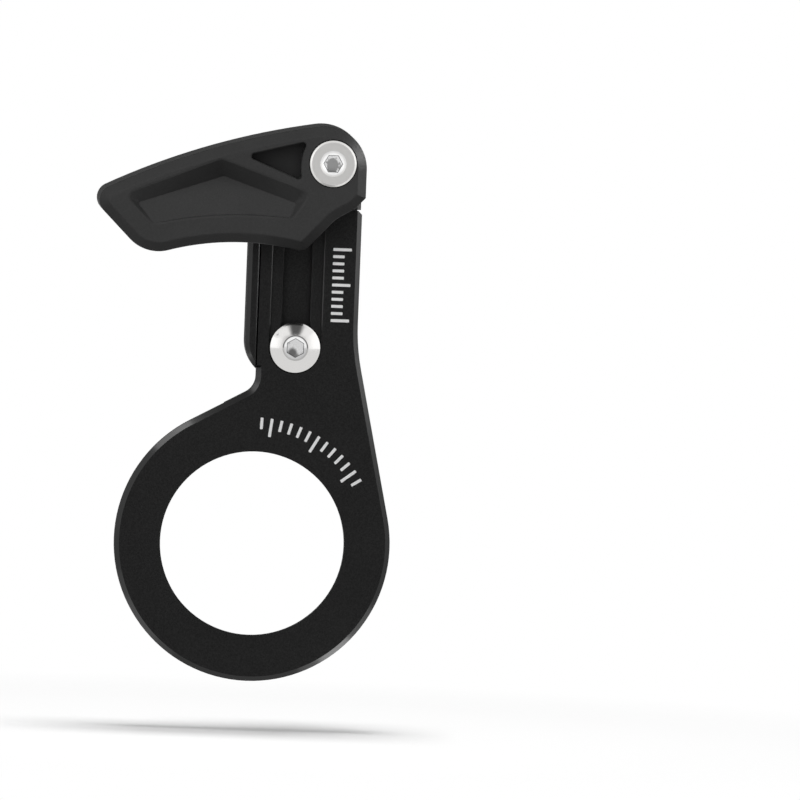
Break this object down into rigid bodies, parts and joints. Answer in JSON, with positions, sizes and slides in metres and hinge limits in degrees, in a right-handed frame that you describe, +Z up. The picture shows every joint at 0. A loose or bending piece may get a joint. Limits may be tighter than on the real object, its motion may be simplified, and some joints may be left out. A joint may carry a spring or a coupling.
{
  "type": "bicycle chain guide",
  "caption": "Upper chain guide with a ring plate clamped under the bottom bracket cup, a sliding carrier with a rail, and a bolted moulded guide over the chain.",
  "frame": {"origin": "on the bottom bracket axis, in the ring's frame-side face", "axes": "+X towards the bike's front, -Y outboard along the bottom bracket axis, +Z up along the slot"},
  "size_m": [0.0584, 0.0274, 0.1067],
  "materials": {
    "black_anodised": "bead-blasted and black anodised",
    "black_nylon": "moulded, fine matt texture",
    "stainless": "stainless steel"
  },
  "bodies": {
    "mount_plate": {"back_plate": "black_anodised"},
    "carriage": {"slider": "black_anodised", "inner_guide": "black_nylon", "outer_guide": "black_nylon", "guide_bolt": "stainless", "slider_bolt": "stainless"}
  },
  "joints": [
    {"name": "height_slide", "type": "slide", "parent": "mount_plate", "child": "carriage", "axis": [0, 0, 1], "range_m": [0, 0.0202]}
  ]
}
